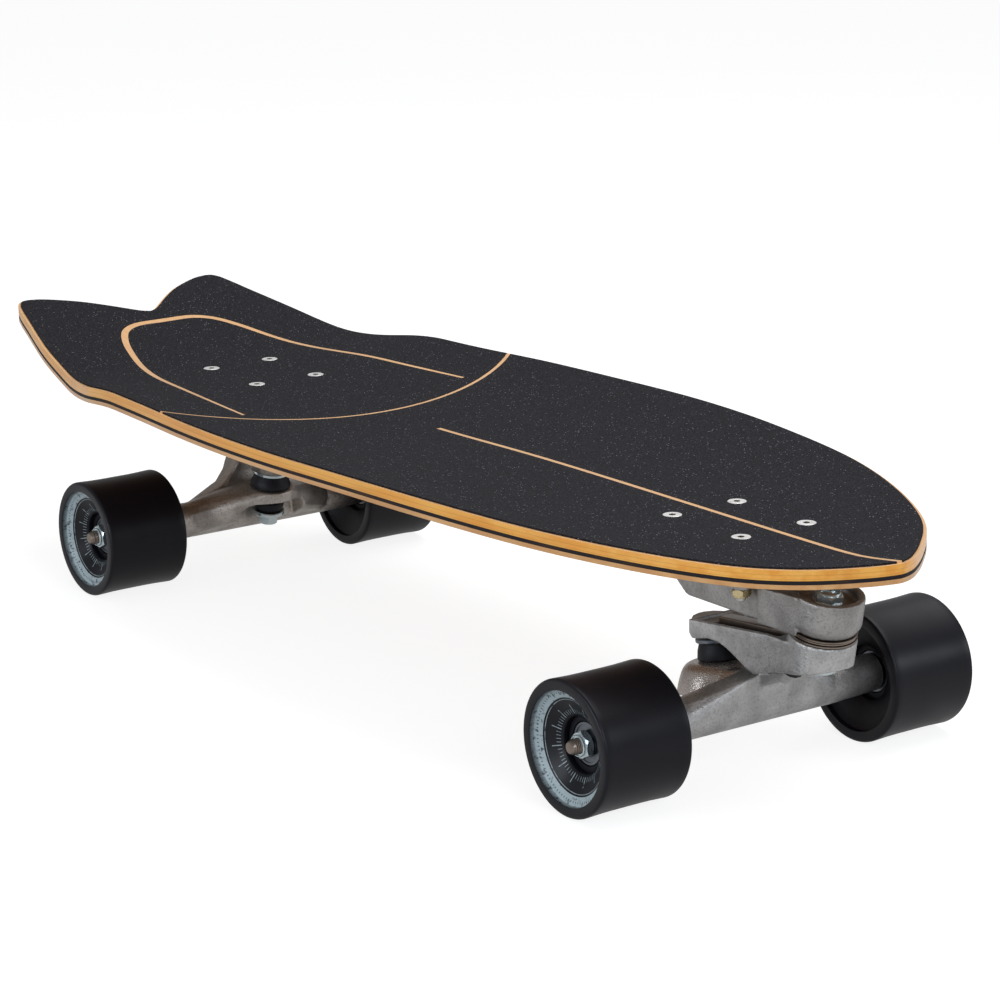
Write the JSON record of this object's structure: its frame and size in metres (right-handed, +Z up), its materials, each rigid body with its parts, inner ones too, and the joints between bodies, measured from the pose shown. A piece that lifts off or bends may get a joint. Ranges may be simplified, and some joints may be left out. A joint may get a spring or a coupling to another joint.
{
  "type": "surf skateboard",
  "caption": "Surf skateboard with a fish-tailed kicked wooden deck, grip sheets, a front truck that swivels on a sprung arm, a tilting rear truck and wide soft wheels.",
  "frame": {"origin": "on the ground, below the middle of the deck's length and width", "axes": "+X to the nose, +Y to the rider's left when facing the nose, +Z up"},
  "size_m": [0.762, 0.2538, 0.1503],
  "materials": {
    "laminated_wood": "satin lacquer over pale and dark plies",
    "grit": "coarse black grit with small bright grains",
    "zinc": "bright zinc plate",
    "light_casting": "raw light cast metal",
    "dark_casting": "tumbled darker cast metal",
    "urethane": "satin black",
    "hub": "moulded, matt",
    "steel": "plain machined",
    "bushing": "satin black urethane"
  },
  "bodies": {
    "board": {"deck": "laminated_wood", "grip_nose": "grit", "grip_tail": "grit", "front_bolt_fore_left": "zinc", "front_bolt_fore_right": "zinc", "front_bolt_aft_left": "zinc", "front_bolt_aft_right": "zinc", "rear_bolt_fore_left": "zinc", "rear_bolt_fore_right": "zinc", "rear_bolt_aft_left": "zinc", "rear_bolt_aft_right": "zinc", "front_base_plate": "light_casting", "front_pivot_bolt": "zinc", "front_pivot_nut": "zinc", "thrust_washer_upper": "steel", "thrust_bearing": "steel", "rear_base_plate": "dark_casting", "rear_kingpin": "steel", "rear_kingpin_nut": "zinc", "rear_bushing_upper": "bushing", "rear_bushing_lower": "bushing", "rear_washer_upper": "zinc", "rear_washer_lower": "zinc", "rear_pivot_cup": "bushing"},
    "front_arm": {"swivel_arm": "light_casting", "swivel_follower": "steel", "swivel_spring": "steel", "thrust_washer_lower": "steel", "front_kingpin": "steel", "front_kingpin_nut": "zinc", "front_bushing_upper": "bushing", "front_bushing_lower": "bushing", "front_washer_upper": "zinc", "front_washer_lower": "zinc", "front_pivot_cup": "bushing"},
    "front_hanger": {"front_hanger": "light_casting", "front_axle": "steel", "front_left_axle_nut": "zinc", "front_right_axle_nut": "zinc"},
    "rear_hanger": {"rear_hanger": "dark_casting", "rear_axle": "steel", "rear_left_axle_nut": "zinc", "rear_right_axle_nut": "zinc"},
    "front_left_wheel": {"front_left_wheel_tyre": "urethane", "front_left_wheel_core": "hub", "front_left_bearing_outer": "steel", "front_left_bearing_inner": "steel"},
    "front_right_wheel": {"front_right_wheel_tyre": "urethane", "front_right_wheel_core": "hub", "front_right_bearing_outer": "steel", "front_right_bearing_inner": "steel"},
    "rear_left_wheel": {"rear_left_wheel_tyre": "urethane", "rear_left_wheel_core": "hub", "rear_left_bearing_outer": "steel", "rear_left_bearing_inner": "steel"},
    "rear_right_wheel": {"rear_right_wheel_tyre": "urethane", "rear_right_wheel_core": "hub", "rear_right_bearing_outer": "steel", "rear_right_bearing_inner": "steel"}
  },
  "joints": [
    {"name": "front_swivel", "type": "hinge", "parent": "board", "child": "front_arm", "pos_m": [0.325, 0, 0.084], "axis": [0.1908, 0, 0.9816], "range_deg": [-30, 30], "stiffness_Nm_per_rad": 2},
    {"name": "front_tilt", "type": "hinge", "parent": "front_arm", "child": "front_hanger", "pos_m": [0.248, 0, 0.0435], "axis": [0.9447, 0, 0.3281], "range_deg": [-12, 12], "stiffness_Nm_per_rad": 45, "deforming": ["front_bushing_upper", "front_bushing_lower"]},
    {"name": "rear_tilt", "type": "hinge", "parent": "board", "child": "rear_hanger", "pos_m": [-0.1948, 0, 0.0494], "axis": [-0.8684, 0, 0.4959], "range_deg": [-14, 14], "stiffness_Nm_per_rad": 45, "deforming": ["rear_bushing_upper", "rear_bushing_lower"]},
    {"name": "front_left_wheel_spin", "type": "hinge", "parent": "front_hanger", "child": "front_left_wheel", "pos_m": [0.2715, 0.09085, 0.0345], "axis": [0, 1, 0], "continuous": true},
    {"name": "front_right_wheel_spin", "type": "hinge", "parent": "front_hanger", "child": "front_right_wheel", "pos_m": [0.2715, -0.09085, 0.0345], "axis": [0, 1, 0], "continuous": true},
    {"name": "rear_left_wheel_spin", "type": "hinge", "parent": "rear_hanger", "child": "rear_left_wheel", "pos_m": [-0.2175, 0.09085, 0.0345], "axis": [0, 1, 0], "continuous": true},
    {"name": "rear_right_wheel_spin", "type": "hinge", "parent": "rear_hanger", "child": "rear_right_wheel", "pos_m": [-0.2175, -0.09085, 0.0345], "axis": [0, 1, 0], "continuous": true}
  ]
}
